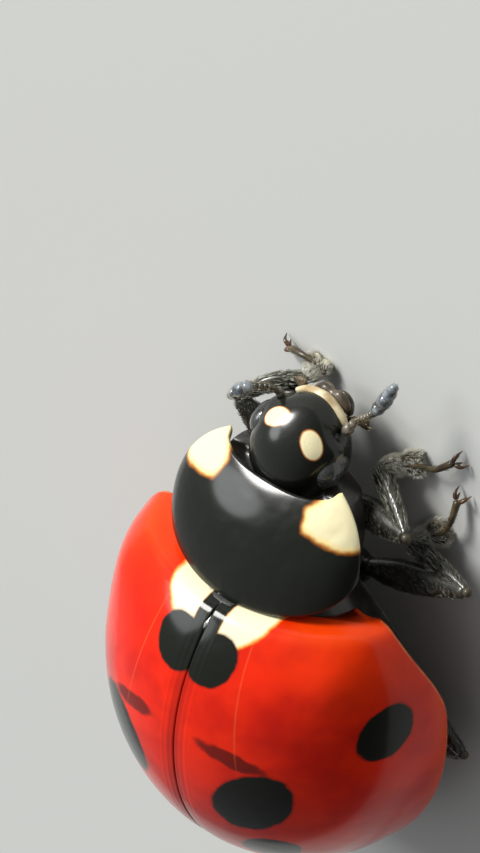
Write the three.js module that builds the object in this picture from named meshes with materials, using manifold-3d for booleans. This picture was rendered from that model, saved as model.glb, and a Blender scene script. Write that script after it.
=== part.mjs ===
// Seven-spot ladybird, life size, standing on six feet.
// Millimetres, +Z up, head towards -Y, the beetle's left side towards +X, soles of the feet at z = 0.

import * as THREE from 'three';
import { mergeVertices } from 'three/addons/utils/BufferGeometryUtils.js';
import Module from 'manifold-3d';

const wasm = await Module();
wasm.setup();

// ---- Driving dimensions -------------------------------------------------------------------------

const JOINT_GAP = 0.03; // clearance between neighbouring plates and leg segments
const CUT_TOLERANCE = 0.006; // edges shorter than this are merged away after a cut
const SHELL = 0.5; // thickness of a wing case
const SCUTELLUM_Y = -1.1; // where the seam of the wing cases starts, behind the pronotum
const RIM_Z = 0.95; // height of the wing cases' lower edge
const BELLY_Z = 0.6; // lowest point of the trunk

const ELYTRA = {
  widestY: SCUTELLUM_Y + 2.12,
  halfWidth: 2.81,
  height: 2.75, // crown above the rim
  frontLength: 2.97, // from the widest station forwards, for the width
  crownFrontLength: 2.89, // the same, for the height
  rearLength: 3.29,
  frontPower: 2.3, // squareness of the front half of the plan outline
  shoulderRise: 0.54, // the rim climbs towards the shoulders
  riseLength: 1.8,
  shoulderSpan: 2.04, // half-distance between the front corners
  frontBow: 0.08, // how far the front corners lie before the scutellum
  stations: 18,
  arcSteps: 26,
};

const SCUTELLUM = { halfWidth: 0.22, length: 0.3 };

const PRONOTUM = {
  widestY: SCUTELLUM_Y - 0.79,
  halfWidth: 1.7,
  hindPower: 2.3, // squareness of the hind half of the plan outline
  sideFrontLength: 1.33,
  length: 1.86, // hind margin to front corners
  cornerHalfWidth: 1.02,
  frontMidY: SCUTELLUM_Y - 1.69,
  crownHeight: 1.7, // above the wing cases' rim
  crownPeakY: SCUTELLUM_Y + 0.45,
  crownLength: 2.4,
  cornerRise: 0.36, // front corners above that rim
  hindEdgeRise: 0.74,
  edgeThickness: 0.12,
};

const HEAD = {
  centre: [0, SCUTELLUM_Y - 1.74, RIM_Z - 0.05],
  halfSize: [0.76, 0.9, 0.7],
  neckY: SCUTELLUM_Y - 1.2,
  chinZ: 0.46,
};
const EYE = { centre: [0.58, SCUTELLUM_Y - 1.72, RIM_Z + 0.04], halfSize: [0.2, 0.29, 0.31] };
const LABRUM = { centre: [0, SCUTELLUM_Y - 2.48, RIM_Z - 0.37], halfSize: [0.34, 0.2, 0.2] };
const JAW = { centre: [0.15, SCUTELLUM_Y - 2.36, RIM_Z - 0.52], halfSize: [0.18, 0.2, 0.1] };

const FEELER_RADIUS = 0.25;
const PALP_RADIUS = 0.21;
const LIMB_SIDES = 8;

const COLOURS = {
  shell: { color: 0xd8300c, roughness: 0.25, metalness: 0 },
  black: { color: 0x10110e, roughness: 0.3, metalness: 0 },
  underside: { color: 0x191510, roughness: 0.55, metalness: 0 },
  leg: { color: 0x15140f, roughness: 0.45, metalness: 0 },
  mouth: { color: 0x3a2c1a, roughness: 0.5, metalness: 0 },
  feeler: { color: 0x4a4238, roughness: 0.4, metalness: 0 },
};

// ---- Shape helpers ------------------------------------------------------------------------------

const clamp01 = (t) => Math.min(1, Math.max(0, t));
const smooth = (t) => clamp01(t) ** 2 * (3 - 2 * clamp01(t));
const mix = (a, b, t) => a + (b - a) * t;
const vec = (x, y, z) => new THREE.Vector3(x, y, z);
const signedPower = (value, power) => Math.sign(value) * Math.abs(value) ** power;

// Stations from 0 to 1 that crowd together at both ends, most of all at 1.
const spread = (t) => mix(Math.sin((t * Math.PI) / 2), (1 - Math.cos(t * Math.PI)) / 2, 0.55);

// The upper half of a sine wave, made fuller or slimmer by a power.
const bulge = (turn, power) => Math.max(0, Math.sin(turn)) ** power;

// One quarter of a superellipse: 1 at t = 0, falling to 0 at t = 1.
const arch = (t, power = 2) => Math.max(0, 1 - Math.abs(t) ** power) ** (1 / power);

// A closed body through rings of equal count; a ring of one point is a pole, and open ends are capped.
function loft(rings) {
  const points = [];
  const faces = [];
  const starts = rings.map((ring) => {
    points.push(...ring);
    return points.length - ring.length;
  });
  const join = (a, b) => {
    const [ringA, ringB] = [rings[a], rings[b]];
    const count = Math.max(ringA.length, ringB.length);
    for (let i = 0; i < count; i++) {
      const j = (i + 1) % count;
      const [a0, a1] = ringA.length > 1 ? [starts[a] + i, starts[a] + j] : [starts[a], starts[a]];
      const [b0, b1] = ringB.length > 1 ? [starts[b] + i, starts[b] + j] : [starts[b], starts[b]];
      if (a0 !== a1) faces.push(a0, a1, b1);
      if (b0 !== b1) faces.push(a0, b1, b0);
    }
  };
  const cap = (ring, start, flipped) => {
    if (ring.length === 1) return;
    const centre = ring.reduce((sum, p) => sum.add(p), vec(0, 0, 0)).divideScalar(ring.length);
    points.push(centre);
    for (let i = 0; i < ring.length; i++) {
      const [p, q] = [start + i, start + ((i + 1) % ring.length)];
      faces.push(points.length - 1, flipped ? q : p, flipped ? p : q);
    }
  };
  for (let i = 0; i + 1 < rings.length; i++) join(i, i + 1);
  cap(rings[0], starts[0], true);
  cap(rings.at(-1), starts.at(-1), false);
  const geometry = new THREE.BufferGeometry().setFromPoints(points);
  geometry.setIndex(faces);
  return geometry;
}

function solidOf(geometry) {
  const bare = geometry.clone();
  bare.deleteAttribute('normal');
  bare.deleteAttribute('uv');
  const merged = mergeVertices(bare, 1e-5);
  const solid = new wasm.Manifold(
    new wasm.Mesh({
      numProp: 3,
      vertProperties: new Float32Array(merged.attributes.position.array),
      triVerts: new Uint32Array(merged.index.array),
    }),
  );
  return solid.volume() < 0 ? reversed(merged) : solid;
}

function reversed(geometry) {
  const flipped = geometry.clone();
  const index = flipped.index.array;
  for (let i = 0; i < index.length; i += 3) [index[i], index[i + 1]] = [index[i + 1], index[i]];
  return solidOf(flipped);
}

function geometryOf(solid) {
  const { vertProperties, triVerts, numProp } = solid.getMesh();
  const positions = new Float32Array((vertProperties.length / numProp) * 3);
  for (let i = 0; i * 3 < positions.length; i++) {
    positions.set(vertProperties.subarray(i * numProp, i * numProp + 3), i * 3);
  }
  const geometry = new THREE.BufferGeometry();
  geometry.setAttribute('position', new THREE.BufferAttribute(positions, 3));
  geometry.setIndex(new THREE.BufferAttribute(new Uint32Array(triVerts), 1));
  geometry.computeVertexNormals();
  return geometry;
}

// Cuts leave crumbs and sliver edges: only the main piece is kept, without edges under the tolerance.
function cleaned(solid) {
  const pieces = solid.simplify(CUT_TOLERANCE).decompose();
  return pieces.sort((a, b) => b.volume() - a.volume())[0];
}

function box(min, max) {
  const size = min.map((low, i) => max[i] - low);
  const geometry = new THREE.BoxGeometry(...size);
  geometry.translate(...min.map((low, i) => low + size[i] / 2));
  return solidOf(geometry);
}

// An ellipsoid, grown by `extra` on every half-axis.
function ellipsoid({ centre, halfSize }, extra, segments, side = 1) {
  const geometry = new THREE.SphereGeometry(1, segments, Math.round(segments * 0.65));
  geometry.rotateX(Math.PI / 2);
  geometry.scale(...halfSize.map((half) => half + extra));
  geometry.translate(side * centre[0], centre[1], centre[2]);
  return solidOf(geometry);
}

// A vertical prism over a closed outline of [x, y] points.
function prism(outline, low, high) {
  const shape = new THREE.Shape(outline.map(([x, y]) => new THREE.Vector2(x, y)));
  const geometry = new THREE.ExtrudeGeometry(shape, { depth: high - low, bevelEnabled: false });
  geometry.translate(0, 0, low);
  return solidOf(geometry);
}

// A rounded limb along a smooth path; radius(t) is its radius at 0..1 of the way.
function limb(path, radius, { extra = 0, steps = 6 } = {}) {
  const curve = path.length > 2 ? new THREE.CatmullRomCurve3(path) : new THREE.LineCurve3(...path);
  const frames = curve.computeFrenetFrames(steps, false);
  const ring = (i, scale, shift) => {
    const r = radius(i / steps) + extra;
    const centre = curve.getPointAt(i / steps).addScaledVector(frames.tangents[i], shift * r);
    return Array.from({ length: LIMB_SIDES }, (_, k) => {
      const turn = (2 * Math.PI * (k + 0.5)) / LIMB_SIDES;
      const point = centre.clone().addScaledVector(frames.normals[i], scale * r * Math.cos(turn));
      return point.addScaledVector(frames.binormals[i], scale * r * Math.sin(turn));
    });
  };
  const rings = [ring(0, 0, -0.95).slice(0, 1), ring(0, 0.75, -0.6)];
  for (let i = 0; i <= steps; i++) rings.push(ring(i, 1, 0));
  rings.push(ring(steps, 0.75, 0.6), ring(steps, 0, 0.95).slice(0, 1));
  return solidOf(loft(rings));
}

// ---- Scene assembly -----------------------------------------------------------------------------

const model = new THREE.Group();

function add(name, solid, finish) {
  const geometry = geometryOf(cleaned(solid));
  const mesh = new THREE.Mesh(geometry, new THREE.MeshStandardMaterial(COLOURS[finish]));
  mesh.name = name;
  model.add(mesh);
}

// ---- Wing cases ---------------------------------------------------------------------------------

const elytraApexY = (inset) => ELYTRA.widestY + ELYTRA.rearLength - inset;

function elytraHalfWidth(y, inset) {
  const offset = y - ELYTRA.widestY;
  const length = offset < 0 ? ELYTRA.frontLength : ELYTRA.rearLength - inset;
  const power = offset < 0 ? ELYTRA.frontPower : 2;
  return (ELYTRA.halfWidth - inset) * arch(offset / length, power);
}

function elytraCrown(y, inset) {
  const offset = y - ELYTRA.widestY;
  const length = offset < 0 ? ELYTRA.crownFrontLength : ELYTRA.rearLength - inset;
  return (ELYTRA.height - inset) * arch(offset / length);
}

function rimZ(y) {
  const frontY = SCUTELLUM_Y - ELYTRA.frontBow;
  return RIM_Z + ELYTRA.shoulderRise * smooth((frontY + ELYTRA.riseLength - y) / ELYTRA.riseLength);
}

// The domed space under an offset copy of the wing cases, open downwards by `skirt`.
function elytraDome(inset, skirt, stations, arcSteps) {
  const startY = SCUTELLUM_Y - ELYTRA.frontBow - 0.15;
  const endY = elytraApexY(inset);
  const rings = [];
  for (let i = 0; i < stations; i++) {
    const y = mix(startY, endY, spread(i / stations));
    const halfWidth = elytraHalfWidth(y, inset);
    const low = rimZ(y);
    const rise = Math.max(0.05, RIM_Z + elytraCrown(y, inset) - low);
    const ring = [];
    for (let k = 0; k <= arcSteps; k++) {
      const turn = (Math.PI * k) / arcSteps;
      ring.push(vec(halfWidth * Math.cos(turn), y, low + rise * Math.sin(turn)));
    }
    if (skirt > 0) ring.push(vec(-halfWidth, y, low - skirt), vec(halfWidth, y, low - skirt));
    rings.push(ring);
  }
  if (skirt === 0) rings.push([vec(0, endY, rimZ(endY))]);
  return solidOf(loft(rings));
}

// Everything behind the bowed front margin of the wing cases, moved back by `gap`.
function behindFrontMargin(gap) {
  const reach = 3.2;
  const bow = (x) => SCUTELLUM_Y - ELYTRA.frontBow * Math.min(1.1, Math.abs(x) / ELYTRA.shoulderSpan) ** 2;
  const outline = [[reach, 6], [-reach, 6]];
  for (let i = 0; i <= 16; i++) {
    const x = mix(-reach, reach, i / 16);
    outline.push([x, bow(x) + gap]);
  }
  return prism(outline, -1, 6);
}

function scutellumPrism(extra) {
  const frontY = SCUTELLUM_Y + 0.02 - extra;
  const tipY = SCUTELLUM_Y + SCUTELLUM.length + 1.5 * extra;
  const half = SCUTELLUM.halfWidth + extra;
  const waistY = mix(frontY, tipY, 0.45);
  const waist = 0.66 * half;
  return prism([[-half, frontY], [half, frontY], [waist, waistY], [0, tipY], [-waist, waistY]], 0, 5);
}

const outerDome = elytraDome(0, 0, ELYTRA.stations, ELYTRA.arcSteps).intersect(behindFrontMargin(0));
const cavity = elytraDome(SHELL, 1.5, 12, 16);
const shell = outerDome.subtract(cavity).subtract(scutellumPrism(JOINT_GAP));

add('elytron_left', shell.intersect(box([JOINT_GAP / 2, -3, 0], [4, 6, 5])), 'shell');
add('elytron_right', shell.intersect(box([-4, -3, 0], [-JOINT_GAP / 2, 6, 5])), 'shell');
add('scutellum', outerDome.intersect(scutellumPrism(0)).subtract(cavity), 'black');

// ---- Head, eyes, feelers and mouthparts ---------------------------------------------------------

const pair = (shape, extra, segments) =>
  ellipsoid(shape, extra, segments, 1).add(ellipsoid(shape, extra, segments, -1));

const eyeSockets = pair(EYE, JOINT_GAP, 12);
const skull = ellipsoid(HEAD, JOINT_GAP, 18).add(eyeSockets);
const muzzle = skull.add(ellipsoid(LABRUM, JOINT_GAP, 12));
const face = muzzle.add(pair(JAW, JOINT_GAP, 10));
const headBlock = box([-2, -5, HEAD.chinZ], [2, HEAD.neckY, 4]);

add('head', ellipsoid(HEAD, 0, 18).subtract(eyeSockets).intersect(headBlock), 'black');
add('labrum', ellipsoid(LABRUM, 0, 12).subtract(skull), 'mouth');

const FEELERS = {
  left: [vec(0.46, -3.42, 0.98), vec(0.5, -3.92, 1.26), vec(0.8, -3.84, 1.44), vec(0.99, -3.56, 1.46)],
  right: [vec(-0.5, -3.4, 0.82), vec(-0.88, -3.8, 0.8), vec(-1.17, -4.09, 0.78), vec(-1.36, -4.64, 0.68)],
};
const PALPS = {
  left: [vec(0.24, -3.46, 0.6), vec(0.38, -3.76, 0.66)],
  right: [vec(-0.36, -3.36, 0.54), vec(-0.76, -3.46, 0.46)],
};

const feelers = {};
for (const [side, sign] of [['left', 1], ['right', -1]]) {
  add(`eye_${side}`, ellipsoid(EYE, 0, 12, sign), 'black');
  add(`mandible_${side}`, ellipsoid(JAW, 0, 10, sign).subtract(muzzle), 'mouth');
  const clubbed = (t) => FEELER_RADIUS * mix(0.94, 1.08, smooth(t * 1.6 - 0.5));
  feelers[side] = limb(FEELERS[side], clubbed, { steps: 8 }).subtract(skull);
  add(`antenna_${side}`, feelers[side], 'feeler');
  const palp = limb(PALPS[side], () => PALP_RADIUS, { steps: 2 });
  add(`palp_${side}`, palp.subtract(face).subtract(feelers[side]), 'mouth');
}

// ---- Pronotum -----------------------------------------------------------------------------------

const pronotumHalfWidth = (y) => {
  const offset = y - PRONOTUM.widestY;
  return (PRONOTUM.halfWidth + 0.02) * arch(offset / (offset < 0 ? PRONOTUM.sideFrontLength : 1.9));
};
const pronotumEdgeZ = (y) =>
  RIM_Z + mix(PRONOTUM.hindEdgeRise, PRONOTUM.cornerRise, smooth((SCUTELLUM_Y - y) / PRONOTUM.length));
const pronotumCrownZ = (y) =>
  RIM_Z + PRONOTUM.crownHeight * arch((y - PRONOTUM.crownPeakY) / PRONOTUM.crownLength);

function pronotumCap() {
  const stations = 9;
  const arcSteps = 20;
  const rings = [];
  for (let i = 0; i <= stations; i++) {
    const y = mix(SCUTELLUM_Y - PRONOTUM.length - 0.05, SCUTELLUM_Y + 0.1, i / stations);
    const halfWidth = pronotumHalfWidth(y);
    const low = pronotumEdgeZ(y);
    const rise = Math.max(0.03, pronotumCrownZ(y) - low);
    const ring = [];
    for (let k = 0; k <= arcSteps; k++) {
      const turn = (Math.PI * k) / arcSteps;
      ring.push(vec(halfWidth * Math.cos(turn), y, low + rise * bulge(turn, 0.93)));
    }
    const under = low - PRONOTUM.edgeThickness;
    ring.push(vec(-halfWidth, y, under), vec(halfWidth, y, under));
    rings.push(ring);
  }
  return solidOf(loft(rings));
}

// Plan outline: a wide hind curve, rounded sides, forward corners and a hollowed front margin.
function pronotumOutline() {
  const hindSteps = 20;
  const sideSteps = 6;
  const frontSteps = 8;
  const hindLength = SCUTELLUM_Y - PRONOTUM.widestY;
  const cornerY = SCUTELLUM_Y - PRONOTUM.length;
  const outline = [];
  for (let i = 0; i <= hindSteps; i++) {
    const turn = (Math.PI * i) / hindSteps;
    const x = PRONOTUM.halfWidth * signedPower(Math.cos(turn), 2 / PRONOTUM.hindPower);
    outline.push([x, PRONOTUM.widestY + hindLength * bulge(turn, 2 / PRONOTUM.hindPower)]);
  }
  const cornerTurn = Math.acos(PRONOTUM.cornerHalfWidth / PRONOTUM.halfWidth);
  const sidePoint = (side, part) => {
    const turn = part * cornerTurn;
    const forward = ((PRONOTUM.widestY - cornerY) * Math.sin(turn)) / Math.sin(cornerTurn);
    return [side * PRONOTUM.halfWidth * Math.cos(turn), PRONOTUM.widestY - forward];
  };
  for (let i = 1; i <= sideSteps; i++) outline.push(sidePoint(-1, i / sideSteps));
  for (let i = 1; i < frontSteps; i++) {
    const x = mix(-PRONOTUM.cornerHalfWidth, PRONOTUM.cornerHalfWidth, i / frontSteps);
    outline.push([x, mix(cornerY, PRONOTUM.frontMidY, arch(x / PRONOTUM.cornerHalfWidth, 3))]);
  }
  for (let i = sideSteps; i >= 1; i--) outline.push(sidePoint(1, i / sideSteps));
  return outline;
}

const pronotum = pronotumCap().intersect(prism(pronotumOutline(), 0, 5));
add('pronotum', pronotum.subtract(skull).subtract(behindFrontMargin(-JOINT_GAP)), 'black');

// ---- Legs ---------------------------------------------------------------------------------------

const THIGH_RADIUS = 0.26;
const SHIN_RADIUS = 0.25;
const FOOT_RADIUS = 0.25;
const COXA_HALF_SIZE = [0.34, 0.3, 0.24];

// Joints of each leg from the hip outwards; `foot` runs from the ankle to the claws.
const LEGS = {
  fore_left: {
    coxa: [0.42, -2.0, 0.56],
    knee: [1.24, -3.11, 0.95],
    foot: [[0.46, -3.66, 0.27], [0.76, -3.72, 0.2], [1.14, -3.6, 0.2]],
  },
  fore_right: {
    coxa: [-0.42, -2.0, 0.56],
    knee: [-1.95, -2.24, 0.88],
    foot: [[-0.87, -2.6, 0.3], [-1.5, -2.93, 0.2], [-2.1, -3.34, 0.2]],
  },
  mid_left: {
    coxa: [0.66, -0.78, 0.54],
    knee: [2.46, -0.32, 0.64],
    foot: [[1.9, 0.36, 0.3], [2.1, 0.68, 0.2], [2.42, 1.06, 0.2]],
  },
  mid_right: {
    coxa: [-0.66, -0.78, 0.54],
    knee: [-2.78, -1.56, 0.58],
    foot: [[-1.48, -1.5, 0.28], [-1.96, -1.92, 0.2], [-2.19, -2.66, 0.2]],
  },
  hind_left: {
    coxa: [0.82, 0.3, 0.54],
    knee: [2.64, 1.42, 0.64],
    foot: [[2.05, 2.42, 0.3], [2.24, 2.88, 0.2], [2.52, 3.32, 0.2]],
  },
  hind_right: {
    coxa: [-0.82, 0.3, 0.54],
    knee: [-2.85, 1.56, 0.62],
    foot: [[-1.62, 2.22, 0.3], [-1.46, 2.7, 0.2], [-1.54, 3.24, 0.2]],
  },
};

const thigh = (t) => THIGH_RADIUS * mix(0.96, 1.12, Math.sin(Math.PI * Math.min(1, t * 1.1)));
const floor = box([-9, -9, -3], [9, 9, 0]);
let legRoom = null;

for (const [name, { coxa, knee, foot }] of Object.entries(LEGS)) {
  const hip = (extra) => ellipsoid({ centre: coxa, halfSize: COXA_HALF_SIZE }, extra, 8);
  const femur = (extra) => limb([vec(...coxa), vec(...knee)], thigh, { extra, steps: 5 });
  const tibia = (extra) => limb([vec(...knee), vec(...foot[0])], () => SHIN_RADIUS, { extra, steps: 2 });
  const tarsus = limb(foot.map((p) => vec(...p)), () => FOOT_RADIUS, { steps: 5 });
  const hipAndThigh = hip(JOINT_GAP).add(femur(JOINT_GAP));
  add(`coxa_${name}`, hip(0), 'leg');
  add(`femur_${name}`, femur(0).subtract(hip(JOINT_GAP)).subtract(face), 'leg');
  add(`tibia_${name}`, tibia(0).subtract(hipAndThigh).subtract(face), 'leg');
  add(`tarsus_${name}`, tarsus.subtract(tibia(JOINT_GAP)).subtract(hipAndThigh).subtract(floor), 'leg');
  const room = hipAndThigh.add(tibia(JOINT_GAP));
  legRoom = legRoom ? legRoom.add(room) : room;
}

// ---- Underside of the trunk ---------------------------------------------------------------------

const WAIST_Y = 0.62; // between thorax and abdomen
const TRUNK_INSET = SHELL + JOINT_GAP;

const bellyZ = (y) => BELLY_Z + (RIM_Z - BELLY_Z) * smooth((y - 0.8) / 3.2);

// The trunk fills the room under the wing cases and bulges a little below their rim.
function trunkSolid() {
  const stations = 11;
  const arcSteps = 13;
  const startY = SCUTELLUM_Y - ELYTRA.frontBow - 0.15;
  const endY = elytraApexY(TRUNK_INSET);
  const rings = [];
  for (let i = 0; i < stations; i++) {
    const y = mix(startY, endY, spread(i / stations));
    const neck = 0.3 * (1 - smooth((y - startY) / 1.1));
    const halfWidth = elytraHalfWidth(y, TRUNK_INSET) * (1 - neck);
    const low = rimZ(y);
    const rise = Math.max(0.04, RIM_Z + elytraCrown(y, TRUNK_INSET) - low);
    const taper = 0.3 * (1 - smooth((y - startY) / 2.2));
    const keelWidth = (up) => halfWidth * (1 + taper * up);
    const ring = [];
    for (let k = 0; k < 2 * arcSteps; k++) {
      const turn = (Math.PI * k) / arcSteps;
      const up = Math.sin(turn);
      const z = up >= 0 ? low + rise * up : low - (low - bellyZ(y)) * (-up) ** 0.75;
      ring.push(vec((up >= 0 ? halfWidth : keelWidth(up)) * Math.cos(turn), y, z));
    }
    rings.push(ring);
  }
  rings.push([vec(0, endY, rimZ(endY))]);
  return solidOf(loft(rings));
}

// The front segment hangs under the pronotum and carries the head and the front legs.
function prothoraxSolid() {
  const stations = 4;
  const arcSteps = 10;
  const rings = [];
  for (let i = 0; i <= stations; i++) {
    const y = mix(SCUTELLUM_Y - 1.5, SCUTELLUM_Y - 0.1, i / stations);
    const halfWidth = 0.74 * pronotumHalfWidth(y);
    const top = pronotumEdgeZ(y) - PRONOTUM.edgeThickness - JOINT_GAP;
    const ring = [];
    for (let k = 0; k <= arcSteps; k++) {
      const turn = (Math.PI * k) / arcSteps;
      ring.push(vec(halfWidth * Math.cos(turn), y, top - (top - BELLY_Z) * bulge(turn, 0.6)));
    }
    rings.push(ring.reverse());
  }
  return solidOf(loft(rings));
}

const trunk = trunkSolid().intersect(behindFrontMargin(0)).subtract(legRoom);
add('thorax', trunk.intersect(box([-4, -3, 0], [4, WAIST_Y, 5])), 'underside');
add('abdomen', trunk.intersect(box([-4, WAIST_Y + JOINT_GAP, 0], [4, 6, 5])), 'underside');
const prothorax = prothoraxSolid().subtract(skull).subtract(legRoom);
add('prothorax', prothorax.subtract(behindFrontMargin(-JOINT_GAP)), 'underside');

export default model;
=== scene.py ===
"""Seven-spot ladybird: the fine surfaces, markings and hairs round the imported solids.

Lengths are in millimetres in the frame's own axes: +Z up, head towards -Y, the beetle's left side
towards +X. They become metres where a mesh, light or camera is made.
"""

import math

import bmesh
import bpy
import numpy as np
from mathutils import Matrix, Vector


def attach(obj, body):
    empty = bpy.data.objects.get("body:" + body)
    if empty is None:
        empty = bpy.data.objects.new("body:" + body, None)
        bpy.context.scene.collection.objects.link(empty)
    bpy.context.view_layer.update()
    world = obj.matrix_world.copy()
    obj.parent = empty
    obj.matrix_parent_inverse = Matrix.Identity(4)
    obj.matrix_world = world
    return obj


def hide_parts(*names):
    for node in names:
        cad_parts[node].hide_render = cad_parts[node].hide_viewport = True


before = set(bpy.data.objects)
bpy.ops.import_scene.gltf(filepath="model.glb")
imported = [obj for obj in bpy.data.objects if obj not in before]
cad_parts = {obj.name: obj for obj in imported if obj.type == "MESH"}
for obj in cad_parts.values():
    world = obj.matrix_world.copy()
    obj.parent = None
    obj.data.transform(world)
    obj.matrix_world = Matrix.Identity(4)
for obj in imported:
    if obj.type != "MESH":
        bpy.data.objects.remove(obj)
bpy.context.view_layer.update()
BODY = "root"
MM = 0.001
RNG = np.random.default_rng(20)
SIDES = (("left", 1), ("right", -1))

# ---- Driving sizes, in millimetres ----

SEAM_Y = -1.1  # where the seam of the wing cases starts, behind the pronotum
RIM_Z = 0.95  # lower edge of the wing cases
BELLY_Z = 0.6
WAIST_Y = 0.62  # between thorax and abdomen

WIDEST_Y = SEAM_Y + 2.12
HALF_WIDTH = 2.81
HEIGHT = 2.75  # crown above the rim
FRONT_LENGTH = 2.97  # from the widest station forwards, for the width
CROWN_LENGTH = 2.89  # the same, for the height
REAR_LENGTH = 3.29
FRONT_POWER = 2.3  # squareness of the front half of the plan outline
SHOULDER_RISE = 0.54  # the rim climbs towards the shoulders
RISE_LENGTH = 1.8
SHOULDER_SPAN = 2.04  # half-distance between the front corners
FRONT_BOW = 0.08  # how far those corners lie before the scutellum
SHOULDER_Y = SEAM_Y - FRONT_BOW
SHOULDER_CUT = 0.1  # the corners are cut back by up to this much
CUT_START, CUT_LENGTH = 1.8, 0.8  # where the cut starts from the middle, and how it deepens
APEX_Y = WIDEST_Y + REAR_LENGTH

SEAM_GAP = 0.002  # half the seam's width
SEAM_ROUND = 0.032
BEVEL = 0.17  # the front margin turns down over this width
RIM_ROUND = 0.05
RIM_SHELF = 0.42  # width of the rim's turned-in underside

SHIELD_HIND = 0.79  # from the pronotum's widest station back to its hind margin
SHIELD_Y = SEAM_Y - SHIELD_HIND
SHIELD_HALF_WIDTH = 1.7
SHIELD_LENGTH = 1.86  # hind margin to front corners
SHIELD_CORNER = 1.02  # half-distance between those corners
SHIELD_FRONT_Y = SEAM_Y - 1.69
SHIELD_THICKNESS = 0.1
SHIELD_HIND_RISE, SHIELD_CORNER_RISE = 0.74, 0.36  # its edge above the wing cases' rim
SHIELD_CROWN, SHIELD_CROWN_LENGTH = 1.7, 2.4
SHIELD_PEAK_Y = SEAM_Y + 0.45

HEAD_CENTRE = np.array([0.03, SEAM_Y - 1.8, RIM_Z + 0.04])
HEAD_HALF = np.array([0.76, 0.88, 0.7])
HEAD_TURN = math.radians(-13)  # the head looks a little to its right
EYE_PLACE = np.array([0.61, -0.14, 0.06])  # from the head's centre, in its own axes
EYE_HALF = np.array([0.21, 0.29, 0.31])
CHIN_Z = 0.46

# ---- Curves and numbers ----


def mix(a, b, t):
    return a + (b - a) * t


def smooth(t):
    t = np.clip(t, 0.0, 1.0)
    return t * t * (3 - 2 * t)


def arch(t, power=2.0):
    """One quarter of a superellipse: 1 at t = 0, falling to 0 at t = 1."""
    return np.maximum(0.0, 1 - np.abs(t) ** power) ** (1 / power)


def hill(distance, width):
    """1 at distance 0, fading over width."""
    return np.exp(-((distance / width) ** 2))


def spread(t):
    """0 to 1 with stations crowded at both ends."""
    return mix(np.sin(t * np.pi / 2), (1 - np.cos(t * np.pi)) / 2, 0.55)


def unit(v):
    v = np.asarray(v, float)
    return v / np.maximum(np.linalg.norm(v, axis=-1, keepdims=True), 1e-12)


def xyz(x, y, z):
    """Points from their coordinates, each repeated along the others where it's shorter."""
    return np.stack(np.broadcast_arrays(x, y, z), -1)


def turned(places):
    """Places in the head's own axes, from its centre, to the body's axes."""
    cos, sin = math.cos(HEAD_TURN), math.sin(HEAD_TURN)
    x, y, z = np.moveaxis(np.asarray(places, float), -1, 0)
    return HEAD_CENTRE + xyz(cos * x - sin * y, sin * x + cos * y, z)


def raised(place, height):
    """The plan position of place, at a height above the floor."""
    return np.array([place[0], place[1], height])


def leftward(way):
    """The level direction to the left of way."""
    return np.array([-way[1], way[0], 0.0])


def bump(points, centre, radius):
    """A soft hill: 1 at centre, fading over radius."""
    return hill(np.linalg.norm(points - np.asarray(centre), axis=-1), radius)


def curve(path, t):
    """Points at t (0 to 1) on a Catmull-Rom curve through path."""
    path = np.asarray(path, float)
    p = np.array([2 * path[0] - path[1], *path, 2 * path[-1] - path[-2]])
    spans = len(path) - 1
    place = np.clip(np.asarray(t) * spans, 0, spans - 1e-9)
    i = place.astype(int)
    f = (place - i)[:, None]
    a, b, c, d = p[i], p[i + 1], p[i + 2], p[i + 3]
    square, cube = 2 * a - 5 * b + 4 * c - d, 3 * b - a - 3 * c + d
    return 0.5 * (2 * b + (c - a) * f + square * f**2 + cube * f**3)


# ---- Mesh making ----

MERGE = 1e-8  # points closer than this, in metres, become one


def loft(rings, flat_ends=False):
    """A closed body through rings of equal count, capped by a fan or, with flat_ends, by one face."""
    rings = np.asarray(rings)
    n, m, _ = rings.shape
    i, j = np.meshgrid(np.arange(n - 1), np.arange(m), indexing="ij")
    a, b = i * m + j, i * m + (j + 1) % m
    faces = np.stack([a, b, b + m, a + m], -1).reshape(-1, 4).tolist()
    points = [rings.reshape(-1, 3)]
    if flat_ends:
        faces.append(list(range(m))[::-1])
        faces.append([(n - 1) * m + k for k in range(m)])
        return points[0], faces
    for end, count in ((0, n * m), (n - 1, n * m + 1)):
        points.append(rings[end].mean(0)[None])
        faces += [[end * m + k, end * m + (k + 1) % m, count] for k in range(m)]
    return np.concatenate(points), faces


def put_in_scene(name, data):
    made = bpy.data.objects.new(name, data)
    bpy.context.scene.collection.objects.link(made)
    return made


def new_mesh(name, points, faces):
    """The smooth mesh of a new object on the body, from places in millimetres."""
    mesh = bpy.data.meshes.new(name)
    mesh.from_pydata((points * MM).tolist(), [], faces)
    mesh.polygons.foreach_set("use_smooth", [True] * len(faces))
    made = put_in_scene(name, mesh)
    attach(made, BODY)
    return made, mesh


def full_turn(count):
    return np.linspace(0, 2 * np.pi, count, endpoint=False)


def piece(name, parts, materials, slot, *nodes):
    """One object from (points, faces, material number) parts, riding on the body in place of nodes."""
    points, faces, numbers = [], [], []
    start = 0
    for part_points, part_faces, number in parts:
        points.append(part_points)
        faces += [[k + start for k in face] for face in part_faces]
        numbers += [number] * len(part_faces)
        start += len(part_points)
    made, mesh = new_mesh(name, np.concatenate(points), faces)
    for material in materials:
        mesh.materials.append(material)
    mesh.polygons.foreach_set("material_index", numbers)
    work = bmesh.new()
    work.from_mesh(mesh)
    bmesh.ops.remove_doubles(work, verts=work.verts, dist=MERGE)
    bmesh.ops.recalc_face_normals(work, faces=work.faces)
    work.to_mesh(mesh)
    work.free()
    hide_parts(*nodes)


def plain_piece(name, mesh, material, slot, node):
    piece(name, [(*mesh, 0)], [material], slot, node)


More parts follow.
